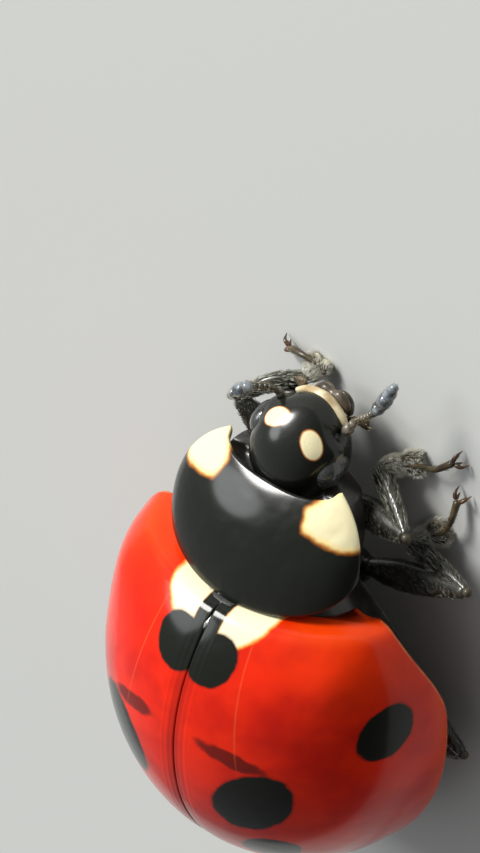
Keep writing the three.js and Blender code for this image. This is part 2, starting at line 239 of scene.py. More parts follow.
def blob(centre, half, rows=28, sides=40, shape=None, pole="y"):
    """An ellipsoid as rings round one axis; shape(points, directions) may move its points."""
    v = np.linspace(0.02, np.pi - 0.02, rows)[:, None]
    turn = full_turn(sides)[None]
    along, a, b = np.cos(v) + 0 * turn, np.sin(v) * np.cos(turn), np.sin(v) * np.sin(turn)
    order = {"y": (a, along, b), "z": (a, b, along)}[pole]
    directions = np.stack(order, -1)
    points = np.asarray(centre) + directions * np.asarray(half)
    if shape:
        points = shape(points, directions)
    return loft(points)


class Limb:
    """A tapering tube along a path.

    widths and depths are radii at even stations; up sets the depth's way, and ends their roundness.
    """

    def __init__(self, path, widths, depths=None, up=(0, 0, 1), steps=40, sides=24, ends=(1.0, 1.0)):
        self.t = (1 - np.cos(np.linspace(0.03, 0.97, steps) * np.pi)) / 2
        self.centres = curve(path, self.t)
        self.tangents = unit(np.gradient(self.centres, axis=0))
        self.side = unit(np.cross(np.asarray(up, float), self.tangents))
        self.rise = np.cross(self.tangents, self.side)
        self.sides = sides
        length = np.linalg.norm(np.diff(self.centres, axis=0), axis=1).sum()
        self.width = self.radii(widths, length, ends)
        self.depth = self.radii(widths if depths is None else depths, length, ends)

    def radii(self, stations, length, ends):
        """Radii at every step, eased between stations and rounded off at both ends."""
        fine = np.linspace(0, 1, 200)
        values = np.interp(fine, np.linspace(0, 1, len(stations)), stations)
        kernel = np.hanning(len(fine) // len(stations) + 3)
        padded = np.pad(values, len(kernel) // 2, mode="edge")
        values = np.convolve(padded, kernel / kernel.sum(), mode="valid")
        radii = np.interp(self.t, np.linspace(0, 1, len(values)), values)
        for end, (t, roundness) in enumerate(zip((self.t, 1 - self.t), ends)):
            cap = max(1e-6, roundness * stations[-end] / length)
            radii = radii * arch(1 - np.minimum(1, t / cap))
        return np.maximum(radii, 1e-4)

    def mesh(self):
        turn = full_turn(self.sides)[None, :, None]
        across = self.width[:, None, None] * np.cos(turn) * self.side[:, None]
        up = self.depth[:, None, None] * np.sin(turn) * self.rise[:, None]
        return loft(self.centres[:, None] + across + up)

    def pick(self, t, values):
        return np.stack([np.interp(t, self.t, values[:, k]) for k in range(3)], -1)

    def at(self, t, turn):
        """Surface point, outward normal and tangent at t along and turn round the limb."""
        width, depth = (np.interp(t, self.t, r)[:, None] for r in (self.width, self.depth))
        side, rise, tangent = (unit(self.pick(t, v)) for v in (self.side, self.rise, self.tangents))
        cos, sin = np.cos(turn)[:, None], np.sin(turn)[:, None]
        point = self.pick(t, self.centres) + width * cos * side + depth * sin * rise
        normal = unit(depth * cos * side + width * sin * rise)
        return point, normal, tangent


# ---- Hairs ----

HAIR_PATCH = 0.003  # side of one hair's patch on the bake map
HAIR_CORNERS = 3
LOWEST_HAIR = 0.003  # no hair reaches nearer to the floor
LIMB_STRIPS, STRIP_WIDTH = 100, 0.0085  # each limb's upright strip of its coat's unwrap


class Coat:
    """Collects tapering hairs, each with its root's place on the skin's unwrap."""

    def __init__(self):
        self.points, self.places = [], []
        self.strips = 0

    def grow(self, roots, ways, lengths, thickness, bend, places):
        """ways are unit directions at the root; bend is the unit direction each tip leans towards."""
        count = len(roots)
        lengths = np.broadcast_to(lengths, count)[:, None]
        side = unit(np.cross(ways, RNG.normal(size=(count, 3))))
        other = np.cross(ways, side)
        middle = roots + ways * lengths * 0.5
        tip = roots + unit(ways + 0.6 * bend) * lengths
        rows = []
        for centre, share in ((roots - ways * 0.01, 1.0), (middle, 0.7)):
            for k in range(HAIR_CORNERS):
                turn = 2 * np.pi * k / HAIR_CORNERS
                rows.append(centre + share * thickness * (np.cos(turn) * side + np.sin(turn) * other))
        rows.append(tip)
        self.points.append(np.stack(rows, 1))
        self.places.append(places)

    def on_limb(
        self, limb, count, length, thickness, lean=0.75, t=(0.05, 0.98), turns=(0, 2 * np.pi), twist=0.0
    ):
        """Hairs on a limb, leaning towards its tip; each limb has its own strip of the unwrap."""
        where = RNG.uniform(*t, count)
        turn = RNG.uniform(*turns, count)
        root, normal, tangent = limb.at(where, turn)
        sideways = np.cross(tangent, normal)
        jitter = RNG.normal(scale=0.12, size=(count, 3))
        way = unit(mix(normal, tangent, lean) + twist * sideways + jitter)
        lengths = length * RNG.uniform(0.7, 1.15, count)
        across = (self.strips % LIMB_STRIPS) / LIMB_STRIPS + STRIP_WIDTH * (turn / (2 * np.pi) % 1)
        self.strips += 1
        self.grow(root, way, lengths, thickness, tangent, np.stack([across, 0.01 + 0.97 * where], -1))

    def finish(self, name, material, slot):
        points = np.concatenate(self.points)
        points[..., 2] = np.maximum(points[..., 2], LOWEST_HAIR)
        places = np.clip(np.concatenate(self.places), HAIR_PATCH, 1 - HAIR_PATCH)
        count, per_hair, _ = points.shape
        c = HAIR_CORNERS
        pattern = [[k, (k + 1) % c, c + (k + 1) % c, c + k] for k in range(c)]
        pattern += [[c + k, c + (k + 1) % c, 2 * c] for k in range(c)]
        pattern.append(list(range(c))[::-1])
        faces = [[k + i * per_hair for k in face] for i in range(count) for face in pattern]
        _, mesh = new_mesh(name, points.reshape(-1, 3), faces)
        mesh.materials.append(material)
        corner = np.zeros(len(mesh.loops), int)
        mesh.loops.foreach_get("vertex_index", corner)
        turn = 2 * np.pi * (corner % per_hair) / per_hair
        offset = 0.5 * HAIR_PATCH * np.stack([np.cos(turn), np.sin(turn)], -1)
        layer = mesh.uv_layers.new(name="OFBake")
        layer.data.foreach_set("uv", (places[corner // per_hair] + offset).ravel())


# ---- Materials ----


def axes_for(normal, along):
    """Three unit axes: along the surface, across it, and out of it."""
    out = unit(normal)
    first = unit(np.asarray(along, float) - np.dot(along, out) * out)
    return [first, np.cross(out, first), out]


class Paint:
    """Adds shader nodes to one new material. Positions are in millimetres."""

    def __init__(self, name, rough, coat=(), on_head=False, **values):
        """coat is the clear coat's weight, roughness and index."""
        self.material = bpy.data.materials.new(name)
        self.material.use_nodes = True
        self.tree = self.material.node_tree
        self.shader = self.tree.nodes["Principled BSDF"]
        values |= zip(("Coat_Weight", "Coat_Roughness", "Coat_IOR"), coat)
        for key, value in {"Roughness": rough, **values}.items():
            self.shader.inputs[key.replace("_", " ")].default_value = value
        place = self.add("ShaderNodeTexCoord").outputs["Object"]
        self.mm = self.vector("SCALE", place, scale=1 / MM)
        if on_head:
            centre = tuple(HEAD_CENTRE)
            inputs = {"Vector": self.mm, "Center": centre, "Angle": -HEAD_TURN}
            back = self.add("ShaderNodeVectorRotate", inputs, rotation_type="Z_AXIS").outputs[0]
            self.mm = self.vector("SUBTRACT", back, centre)
        x, self.y, self.z = self.add("ShaderNodeSeparateXYZ", {0: self.mm}).outputs
        self.side_x = self.number("ABSOLUTE", x)
        joined = self.add("ShaderNodeCombineXYZ", {0: self.side_x, 1: self.y, 2: self.z})
        self.folded = joined.outputs[0]  # both sides of the body share the left side's place

    def add(self, kind, inputs=None, **settings):
        node = self.tree.nodes.new(kind)
        for key, value in settings.items():
            setattr(node, key, value)
        for key, value in (inputs or {}).items():
            self.feed(node.inputs[key], value)
        return node

    def feed(self, socket, value):
        if isinstance(value, bpy.types.NodeSocket):
            self.tree.links.new(value, socket)
        else:
            socket.default_value = value

    def number(self, operation, a, b=0.0, c=0.0):
        return self.add("ShaderNodeMath", {0: a, 1: b, 2: c}, operation=operation).outputs[0]

    def times(self, a, b):
        return self.number("MULTIPLY", a, b)

    def vector(self, operation, a, b=(0, 0, 0), scale=1.0):
        inputs = {0: a, 3: scale} if operation == "SCALE" else {0: a, 1: b}
        node = self.add("ShaderNodeVectorMath", inputs, operation=operation)
        return node.outputs[1 if operation in ("DOT_PRODUCT", "LENGTH") else 0]

    def noise(self, scale, detail=2.0):
        inputs = {"Vector": self.mm, "Scale": scale, "Detail": detail, "Roughness": 0.5}
        return self.add("ShaderNodeTexNoise", inputs).outputs["Fac"]

    def uneven(self, scale, wobble):
        """Noise from -wobble to wobble."""
        return self.times(self.number("SUBTRACT", self.noise(scale), 0.5), wobble * 2)

    def cells(self, scale):
        """Distance from the middle of the nearest of many scattered cells."""
        return self.add("ShaderNodeTexVoronoi", {"Vector": self.mm, "Scale": scale}).outputs["Distance"]

    def pits(self, scale, width):
        """1 on the open surface, 0 in the middle of each round pit."""
        return self.band(self.cells(scale), 0.0, width)

    def band(self, value, low, high, top=1.0):
        """0 at low, easing up to top at high."""
        inputs = {0: value, 1: low, 2: high, 3: 0.0, 4: top}
        return self.add("ShaderNodeMapRange", inputs, interpolation_type="SMOOTHSTEP").outputs[0]

    def blend(self, factor, a, b, share=1.0):
        """From colour a to colour b by factor, or by only a share of it."""
        if share < 1:
            factor = self.times(factor, share)
        a, b = ((*c, 1.0) if isinstance(c, tuple) else c for c in (a, b))
        return self.add("ShaderNodeMix", {0: factor, 6: a, 7: b}, data_type="RGBA").outputs[2]

    def edged(self, depth, colour, *layers):
        """Lays (low, high, colour) layers over a colour, each coming in as depth goes from low to high."""
        for low, high, layer in layers:
            colour = self.blend(self.band(depth, low, high), colour, layer)
        return colour

    def inside(self, centre, normal, along, halves, wobble=0.08):
        """How deep in a tilted ellipsoid a point is: 0 on its surface, 1 in the middle."""
        offset = self.vector("SUBTRACT", self.folded, centre)
        shares = [
            self.number("DIVIDE", self.vector("DOT_PRODUCT", offset, tuple(axis)), half)
            for axis, half in zip(axes_for(normal, along), halves)
        ]
        joined = self.add("ShaderNodeCombineXYZ", dict(enumerate(shares))).outputs[0]
        radius = self.number("ADD", self.vector("LENGTH", joined), self.uneven(5.0, wobble))
        return self.number("SUBTRACT", 1.0, radius)

    def wedge(self, corners, wobble, round_off=0.05):
        """How deep in a convex outline, in millimetres; its (side x, y) corners go round it to the left."""
        depth = None
        for (x0, y0), (x1, y1) in zip(corners, corners[1:] + corners[:1]):
            offset = self.vector("SUBTRACT", self.folded, (x0, y0, 0.0))
            inwards = tuple(leftward(unit((x1 - x0, y1 - y0))))
            distance = self.vector("DOT_PRODUCT", offset, inwards)
            depth = distance if depth is None else self.number("SMOOTH_MIN", depth, distance, round_off)
        return self.number("ADD", depth, self.uneven(7.0, wobble))

    def finish(self, colour, *layers):
        """Drives the colour, and stacks (height, strength, depth in mm) layers into one normal."""
        self.feed(self.shader.inputs["Base Color"], colour)
        normal = None
        for height, strength, depth in layers:
            inputs = {"Height": height, "Strength": strength, "Distance": depth * MM}
            if normal is not None:
                inputs["Normal"] = normal
            normal = self.add("ShaderNodeBump", inputs).outputs[0]
        if layers:
            self.feed(self.shader.inputs["Normal"], normal)
        return self.material


BLACK = (0.008, 0.009, 0.006)
CREAM = (0.92, 0.83, 0.52)
AMBER = (0.42, 0.13, 0.015)
DEEP_RED, BRIGHT_RED, RIM_RED = (0.6, 0.009, 0.001), (0.82, 0.02, 0.001), (0.92, 0.085, 0.003)

# Centre, the shell's outward way there, the spot's long way, and half sizes: long, short and in depth.
SPOTS = [
    ((0.31, -0.53, 3.25), (-0.12, -0.45, 0.88), (0.35, -0.85, 0), (0.44, 0.36, 0.8)),
    ((2.53, 0.34, 2.0), (0.91, -0.11, 0.41), (0.28, 0.55, 0.78), (0.5, 0.4, 0.8)),
    ((1.2, 1.65, 3.32), (0.42, 0.17, 0.89), (0.65, -0.74, 0), (0.72, 0.52, 0.8)),
    ((1.2, 2.88, 2.89), (0.44, 0.5, 0.75), (0.9, -0.4, 0), (0.46, 0.38, 0.7)),
]
# A painted dark reflection across each wing case, in the same columns as the spots.
DARK_REFLECTION_STREAK = ((0.9, 0.82, 3.5), (0.3, -0.1, 0.94), (0.95, 0.18, 0), (0.6, 0.17, 0.3))
BROW_SPOT = ((0.35, -0.66, 0.33), (0.45, -0.72, 0.5), (0.75, 0.6, 0.2), (0.225, 0.155, 0.4))
CHEEK_SPOT = ((0.66, -0.42, 0.02), (0.8, -0.6, 0.05), (0, 0, 1), (0.09, 0.06, 0.3))
# Plan outlines, as distance from the middle and y.
SHELL_CREAM = [(0.2, -0.84), (0.2, -1.4), (0.98, -1.26), (0.84, -0.98), (0.56, -0.76)]
SHELL_NECK = [(-0.3, -0.3), (-0.3, -1.4), (0.22, -1.4), (0.24, -0.3)]
SHIELD_CREAM = [(0.72, -2.72), (1.0, -2.97), (1.2, -3.1), (1.9, -2.8)]
SHIELD_CREAM += [(1.9, -2.2), (1.5, -2.3), (1.1, -2.3), (0.84, -2.44)]
HIGHLIGHT_LINE_SLANT, HIGHLIGHT_LINE_X = 0.128, 0.91  # a thin painted highlight lies along side x = slant * y + the offset


def shell_red(paint):
    """Clouded red, more orange at the front and rim, with painted light on the front bevel, painted shade
    along the seam, a painted dark reflection streak and a thin painted highlight line.
    """
    red = paint.blend(paint.band(paint.noise(0.9, 3.0), 0.36, 0.66), DEEP_RED, BRIGHT_RED)
    forward = paint.number("ADD", paint.y, paint.times(paint.side_x, -0.5))
    red = paint.blend(paint.band(forward, -0.9, -2.3), red, RIM_RED, 0.28)
    # Painted light: the forward-facing bevel at each shoulder is tinted orange as if lit.
    painted_light_bevel = paint.times(paint.band(paint.y, -1.0, -1.14), paint.band(paint.side_x, 0.9, 1.3))
    red = paint.blend(painted_light_bevel, red, (0.95, 0.17, 0.008), 0.12)
    red = paint.blend(paint.band(paint.z, RIM_Z + 0.4, RIM_Z + 0.02), red, RIM_RED, 0.6)
    # Painted reflection: a dark-red streak standing in for dark surroundings mirrored in the gloss.
    painted_reflection_streak = paint.inside(*DARK_REFLECTION_STREAK, wobble=0.3)
    red = paint.blend(paint.band(painted_reflection_streak, 0.0, 0.35, 0.88), red, (0.1, 0.005, 0.002))
    # Painted shade along the seam: the red darkens towards the middle.
    red = paint.blend(paint.band(paint.side_x, 0.24, 0.0), red, (0.26, 0.006, 0.001), 0.6)
    # Painted highlight: a thin pale line slanting back along each wing case.
    highlight_line_x = paint.number("MULTIPLY_ADD", paint.y, HIGHLIGHT_LINE_SLANT, HIGHLIGHT_LINE_X)
    off_highlight_line = paint.number("ABSOLUTE", paint.number("SUBTRACT", paint.side_x, highlight_line_x))
    painted_highlight_line = paint.times(paint.band(off_highlight_line, 0.022, 0.0), paint.band(paint.y, 1.3, 0.6))
    return paint.blend(painted_highlight_line, red, (0.95, 0.2, 0.06), 0.22)


def shell_material():
    """Orange-red wing cases: near-black spots, cream corners beside the scutellum, fine pits, wet gloss."""
    paint = Paint("shell_red", 0.36, (0.85, 0.13, 1.34), Specular_IOR_Level=0.05)
    cream = paint.wedge(SHELL_CREAM, 0.03, 0.04)
    cream_layers = [(-0.04, 0.015, (0.95, 0.36, 0.05)), (-0.01, 0.06, (0.96, 0.87, 0.58))]
    colour = paint.edged(cream, shell_red(paint), *cream_layers)
    spots = None
    for spot in SPOTS:
        depth = paint.inside(*spot)
        spots = depth if spots is None else paint.number("MAXIMUM", spots, depth)
    neck = paint.wedge(SHELL_NECK, 0.02)
    black = paint.number("MAXIMUM", paint.band(spots, -0.02, 0.03), paint.band(neck, -0.02, 0.02))
    colour = paint.blend(paint.band(spots, -0.1, 0.02, 0.75), colour, (0.12, 0.008, 0.002))
    colour = paint.blend(black, colour, BLACK)
    ripples = paint.number("SINE", paint.times(paint.side_x, 62.0))
    near_seam = paint.times(ripples, paint.band(paint.side_x, 0.3, 0.18))
    return paint.finish(
        colour,
        (paint.noise(1.1), 0.5, 0.09),
        (near_seam, 0.25, 0.01),
        (paint.pits(16.0, 0.22), 0.28, 0.012),
        (paint.noise(60.0), 0.05, 0.004),
    )


def shield_material():
    """Glossy black pronotum with a cream patch in each front corner, edged with amber."""
    paint = Paint("shield_black", 0.36, (1.0, 0.14, 1.38), Specular_IOR_Level=0.06)
    cream = paint.wedge(SHIELD_CREAM, 0.025)
    layers = [(-0.04, 0.01, AMBER), (-0.01, 0.05, (0.94, 0.74, 0.3)), (0.02, 0.1, CREAM)]
    return paint.finish(
        paint.edged(cream, BLACK, *layers),
        (paint.noise(1.7), 0.9, 0.07),
        (paint.pits(20.0, 0.25), 0.22, 0.01),
        (paint.noise(80.0), 0.06, 0.003),
    )


def head_material():
    """Black head with two cream brow spots, a faint one before each eye, and a grey bloom of fine pits."""
    paint = Paint("head_black", 0.36, (1.0, 0.17, 1.44), on_head=True, Specular_IOR_Level=0.1)
    cheek = paint.band(paint.inside(*CHEEK_SPOT), -0.2, 0.3, 0.6)
    colour = paint.blend(cheek, BLACK, (0.5, 0.45, 0.3))
    return paint.finish(
        paint.edged(paint.inside(*BROW_SPOT), colour, (-0.1, 0.0, AMBER), (-0.02, 0.12, CREAM)),
        (paint.noise(3.0), 0.3, 0.03),
        (paint.pits(22.0, 0.3), 0.4, 0.012),
        (paint.noise(90.0), 0.1, 0.003),
    )


def chitin(name, dark, light, rough, coat, pit_scale=26.0, pit_depth=0.008, cloud_scale=4.0):
    """Plain cuticle: two close colours in soft clouds, fine pits, and a thin gloss."""
    paint = Paint(name, rough, (coat, 0.15), Specular_IOR_Level=0.35)
    return paint.finish(
        paint.edged(paint.noise(cloud_scale, 3.0), dark, (0.35, 0.7, light)),
        (paint.noise(cloud_scale), 0.3, 0.02),
        (paint.pits(pit_scale, 0.3), 0.4, pit_depth),
    )


def eye_material():
    """Nearly black compound eye with a fine net of facets."""
    paint = Paint("eye_facets", 0.22, (1.0, 0.05), IOR=1.52)
    facets = paint.cells(52.0)
    colour = paint.edged(facets, (0.02, 0.022, 0.022), (0.3, 0.6, (0.045, 0.048, 0.045)))
    return paint.finish(colour, (paint.times(facets, -1.0), 0.5, 0.008))


def pad_material():
    """Pale adhesive pads under the feet."""
    paint = Paint("foot_pad", 0.75, Sheen_Weight=0.3)
    colour = paint.edged(paint.noise(9.0, 3.0), (0.42, 0.36, 0.2), (0.35, 0.65, (0.72, 0.68, 0.52)))
    return paint.finish(colour, (paint.noise(50.0), 0.6, 0.01))


def hair_material(name, colour, pale):
    paint = Paint(name, 0.38, (0.3,))
    return paint.finish(paint.edged(paint.noise(3.0), colour, (0.3, 0.7, pale)))


SHELL = shell_material()
SHIELD = shield_material()
HEAD = head_material()
EYE = eye_material()
PAD = pad_material()
PLATE = chitin("plate_black", (0.010, 0.011, 0.009), (0.028, 0.03, 0.026), 0.3, 1.0, 18.0, 0.01)
BELLY = chitin("belly_black", (0.012, 0.011, 0.009), (0.04, 0.034, 0.026), 0.42, 0.5, 20.0, 0.012)
LEG = chitin("leg_black", (0.010, 0.010, 0.008), (0.035, 0.034, 0.026), 0.36, 0.6)
FOOT = chitin("foot_brown", (0.035, 0.026, 0.014), (0.12, 0.085, 0.04), 0.42, 0.4)
CLAW = chitin("claw_brown", (0.04, 0.02, 0.008), (0.13, 0.065, 0.025), 0.32, 0.7)
FEELER = chitin("feeler_brown", (0.05, 0.045, 0.035), (0.24, 0.21, 0.16), 0.34, 0.8)
# The club's pale blue-grey clouds are a painted sheen over its near-black.
CLUB_WITH_PAINTED_SHEEN = chitin("feeler_club_painted_sheen", (0.05, 0.06, 0.07), (0.3, 0.34, 0.38), 0.3, 1.0, 26.0, 0.006, 7.0)
MOUTH = chitin("mouth_brown", (0.035, 0.026, 0.016), (0.15, 0.11, 0.07), 0.4, 0.4)
LIP = chitin("clypeus_cream", (0.42, 0.3, 0.15), (0.8, 0.7, 0.46), 0.5, 0.25)
MEMBRANE = chitin("joint_membrane", (0.03, 0.025, 0.015), (0.1, 0.08, 0.045), 0.5, 0.3)
RIM = chitin("rim_orange", (0.62, 0.07, 0.01), (0.85, 0.2, 0.03), 0.4, 0.6, 18.0)
GREY_HAIR = hair_material("hair_grey", (0.1, 0.1, 0.075), (0.26, 0.26, 0.2))
PALE_HAIR = hair_material("hair_pale", (0.55, 0.52, 0.42), (0.86, 0.85, 0.76))
GOLD_HAIR = hair_material("hair_gold", (0.35, 0.27, 0.12), (0.62, 0.52, 0.3))

# ---- Wing cases ----

CASE_STATIONS, ARC_STEPS = 130, 84
CASE_END = 0.9985  # the last station, just short of the apex
WALL_SHARES = np.array([0.0, 0.12, 0.35, 0.65])  # the seam wall's points across its rounding


def case_half_width(y):
    offset = y - WIDEST_Y
    front = arch(offset / FRONT_LENGTH, FRONT_POWER)
    return HALF_WIDTH * np.where(offset < 0, front, arch(offset / REAR_LENGTH))


def case_crown(y):
    offset = y - WIDEST_Y
    return HEIGHT * arch(offset / np.where(offset < 0, CROWN_LENGTH, REAR_LENGTH))


def rim_height(y):
    return RIM_Z + SHOULDER_RISE * smooth((SHOULDER_Y + RISE_LENGTH - y) / RISE_LENGTH)


def case_front(x):
    bow = FRONT_BOW * np.minimum(1.1, np.abs(x) / SHOULDER_SPAN) ** 2
    return SEAM_Y - bow + SHOULDER_CUT * smooth((np.abs(x) - CUT_START) / CUT_LENGTH)


def case_crest(y):
    """Height of the wing cases along the middle."""
    low = rim_height(y)
    return low + np.maximum(0.05, RIM_Z + case_crown(y) - low)


def outer_case():
    """Rings of the left wing case from the front margin to the apex: seam wall, then the dome's arc."""
    v = spread(np.linspace(0, CASE_END, CASE_STATIONS))[:, None]
    arc = np.linspace(0, 1, ARC_STEPS)[None]
    wall = len(WALL_SHARES)
    x = np.full((CASE_STATIONS, wall + ARC_STEPS), 1.0)
    for _ in range(6):  # the front margin's place and the width there settle together
        y = mix(case_front(x), APEX_Y, v)
        width = case_half_width(y)
        at_wall = np.arccos(np.clip((SEAM_GAP + SEAM_ROUND * WALL_SHARES) / width[:, :wall], 0, 1))
        top = np.arccos(np.clip((SEAM_GAP + SEAM_ROUND) / width[:, wall:], 0, 1))
        turn = np.concatenate([at_wall, top * (1 - arc)], 1)
        x = width * np.cos(turn)
    low = rim_height(y) + RIM_ROUND * smooth(width / 0.6)
    z = low + np.maximum(0.02, RIM_Z + case_crown(y) - low) * np.sin(turn)
    out = xyz(np.cos(turn), 0, np.sin(turn))
    points = xyz(x, y, z)
    from_front = np.clip((y - case_front(x)) / BEVEL, 0, 1)
    from_seam = np.clip((x - SEAM_GAP) / SEAM_ROUND, 0, 1)
    inset = BEVEL * 0.8 * (1 - arch(1 - from_front, 2.6)) + SEAM_ROUND * (1 - arch(1 - from_seam))
    callus = 0.055 * bump(points, (1.98, -0.66, 2.55), 0.42)
    groove = -0.012 * hill(x, 0.16) * smooth((y - SEAM_Y) / 0.6)
    flare = 0.03 * hill(turn, 0.09) * smooth(width / 1.5)
    return points + (callus + groove + flare - inset)[..., None] * out


def wing_case(side):
    """A closed wing case, and each face's kind: 0 on the shell, 1 under the rim and 2 inside."""
    outer = outer_case()
    rim_x, rim_y, rim_z = (outer[:, -1:, k] for k in range(3))
    rolled = RIM_ROUND * smooth(rim_x / 0.6)
    roll = np.linspace(0, np.pi / 2, 6)[None, 1:]
    fold = xyz(rim_x - rolled * (1 - np.cos(roll)), rim_y, rim_z - rolled * np.sin(roll))
    reach = np.minimum(RIM_SHELF, 0.55 * rim_x)
    inward = np.linspace(0, 1, 7)[None, 1:]
    hollow = (0.05 * np.sin(inward * np.pi) + 0.05 * inward) * smooth(reach / 0.4)
    shelf = xyz(fold[:, -1:, 0] - reach * inward, rim_y, fold[:, -1:, 2] + hollow)
    turn = np.linspace(0, 1, 26)[None, 1:] * np.pi / 2
    base = shelf[:, -1:, 2]
    seam_z = outer[:, :1, 2]
    roof = seam_z - 0.35 * smooth((seam_z - base) / 1.5)
    inner_x = np.maximum(shelf[:, -1:, 0] * np.cos(turn), SEAM_GAP)
    inner_y = mix(rim_y, outer[:, :1, 1], np.sin(turn))
    inner = xyz(inner_x, inner_y, base + (roof - base) * np.sin(turn))
    rings = np.concatenate([outer, fold, shelf, inner], 1)
    rings[..., 0] *= side
    points, faces = loft(rings, flat_ends=True)
    rim_start = outer.shape[1] - 1
    inner_start = rim_start + fold.shape[1] + shelf.shape[1]
    kinds = np.digitize(np.arange(rings.shape[1]), [rim_start, inner_start])
    kinds = np.concatenate([np.tile(kinds, len(rings) - 1), [0, 0]])
    return points, faces, kinds


def make_wing_cases():
    for name, side in SIDES:
        points, faces, kinds = wing_case(side)
        parts = [(points, [faces[i] for i in np.flatnonzero(kinds == k)], k) for k in range(3)]
        piece(f"wing_case_{name}", parts, [SHELL, RIM, BELLY], "shell", f"elytron_{name}")


def make_scutellum():
    """A small glossy triangle between the pronotum and the seam, slightly domed, over a deep root."""
    v = np.linspace(0, 1, 22)[:, None]
    u = np.linspace(-1, 1, 21)[None]
    half = 0.215 * (1 - v) ** 0.85 + 0.004
    y = mix(SEAM_Y - 0.02, SEAM_Y + 0.29, v) + 0 * u
    edge = np.minimum(1, np.minimum((1 - np.abs(u)) * half, (1.001 - v) * 0.3) / 0.035)
    z = case_crest(y) - 0.02 - 0.16 * (1 - v) ** 2 + 0.03 * arch(u, 2.2) - 0.04 * (1 - arch(1 - edge))
    top = xyz(half * u, y, z)
    root = top * [0.9, 1, 1] - np.array([0, 0, 0.3])
    rings = np.concatenate([top, root[:, ::-1]], 1)
    plain_piece("scutellum_plate", loft(rings, flat_ends=True), PLATE, "black", "scutellum")


# ---- Pronotum ----


def shield_half_width(y):
    offset = y - SHIELD_Y
    return (SHIELD_HALF_WIDTH + 0.02) * arch(offset / np.where(offset < 0, 1.33, 1.9))


def shield_edge(y):
    return RIM_Z + mix(SHIELD_HIND_RISE, SHIELD_CORNER_RISE, smooth((SEAM_Y - y) / SHIELD_LENGTH))


def shield_surface(x, y):
    low = shield_edge(y)
    crown = RIM_Z + SHIELD_CROWN * arch((y - SHIELD_PEAK_Y) / SHIELD_CROWN_LENGTH)
    return low + (crown - low) * arch(x / np.maximum(shield_half_width(y), 1e-6)) ** 0.93


def shield_outline(x):
    """The y of the front and hind margins at each x: hollowed in front, rounded at the sides and behind."""
    side = np.abs(x)
    hind = SHIELD_Y + SHIELD_HIND * arch(x / SHIELD_HALF_WIDTH, 2.3)
    corner_y = SEAM_Y - SHIELD_LENGTH
    corner_turn = math.acos(SHIELD_CORNER / SHIELD_HALF_WIDTH)
    side_turn = np.minimum(np.arccos(side / SHIELD_HALF_WIDTH), corner_turn)
    side_front = SHIELD_Y - (SHIELD_Y - corner_y) * np.sin(side_turn) / math.sin(corner_turn)
    hollow = mix(corner_y, SHIELD_FRONT_Y, arch(np.minimum(1, side / SHIELD_CORNER), 3))
    return np.where(side < SHIELD_CORNER, hollow, side_front), hind


def make_pronotum():
    """Rings across the plate from one side to the other, each a thin closed loop with rounded edges."""
    turn = np.linspace(0.012, np.pi - 0.012, 120)[:, None]
    x = SHIELD_HALF_WIDTH * np.cos(turn)
    v = (1 - np.cos(np.linspace(0, np.pi, 60)))[None] / 2
    y = mix(*shield_outline(x), v)
    top = xyz(x, y, shield_surface(x, y))
    across = np.gradient(top, axis=0)
    along = np.gradient(top, axis=1)
    normal = unit(np.cross(along, across))
    outward = normal[..., 2:3] + 0.3 * normal[..., 0:1] * np.sign(x)[..., None]
    normal *= np.where(outward < 0, -1, 1)
    run = np.linalg.norm(top[:, :1] - top[:, -1:], axis=-1)
    thick = np.minimum(SHIELD_THICKNESS, 0.4 * run + 0.01)[..., None]
    steps = np.linalg.norm(along, axis=-1)
    to_edge = np.minimum(np.cumsum(steps, 1), np.cumsum(steps[:, ::-1], 1)[:, ::-1])
    edge_share = np.clip(to_edge[..., None] / 0.06, 0, 1)
    top = top - normal * 0.5 * thick * (1 - arch(1 - edge_share))
    bottom = top - normal * thick * (0.15 + 0.85 * smooth(edge_share))
    rings = np.concatenate([top, bottom[:, ::-1]], 1)
    plain_piece("pronotum_plate", loft(rings, flat_ends=True), SHIELD, "black", "pronotum")


# ---- Head ----

# Height, centre and radius in the head's own axes, the same on both sides.
HEAD_HILLS = [
    (0.05, (0.62, -0.5, 0.06), 0.17),  # ridge before the eye
    (-0.04, (0.0, -0.7, 0.3), 0.36),  # flattened brow
    (-0.05, EYE_PLACE + np.array([0.12, 0.0, 0.05]), 0.3),  # eye socket
    (0.09, (0.0, -0.8, -0.24), 0.34),  # snout
    (-0.05, (0.46, -0.62, -0.1), 0.1),  # dimple at the feeler's root
]
CLYPEUS = [(0.5, -0.6, -0.3), (0.3, -0.79, -0.31), (0, -0.88, -0.32)]
CLYPEUS += [(-0.3, -0.79, -0.31), (-0.5, -0.6, -0.3)]
LIP_CENTRE, LIP_HALF = (-0.16, -3.66, 0.53), (0.33, 0.21, 0.11)
JAW_MIDDLE = [(-0.1, -3.4, 0.44), (-0.12, -3.6, 0.42), (-0.14, -3.72, 0.41), (-0.15, -3.74, 0.42)]
JAW_SPREAD = [0.3, 0.27, 0.16, 0.03]  # each jaw's distance to its side of that path
PALPS = {
    "left": [(0.27, -3.4, 0.56), (0.33, -3.6, 0.58), (0.4, -3.78, 0.62)],
    "right": [(-0.34, -3.36, 0.54), (-0.55, -3.44, 0.5), (-0.78, -3.5, 0.44)],
}
FEELERS = {
    "left": [(0.4, -3.44, 0.84), (0.5, -3.84, 1.1), (0.76, -3.84, 1.32), (1.06, -3.5, 1.36)],
    "right": [(-0.6, -3.42, 0.78), (-0.84, -3.82, 0.8), (-1.1, -4.1, 0.82), (-1.3, -4.42, 0.8)],
}
FEELERS["right"].append((-1.5, -4.86, 0.76))
FEELER_CUTS = [0.0, 0.12, 0.2, 0.27, 0.33, 0.39, 0.45, 0.51, 0.57, 0.71, 0.85, 1.0]
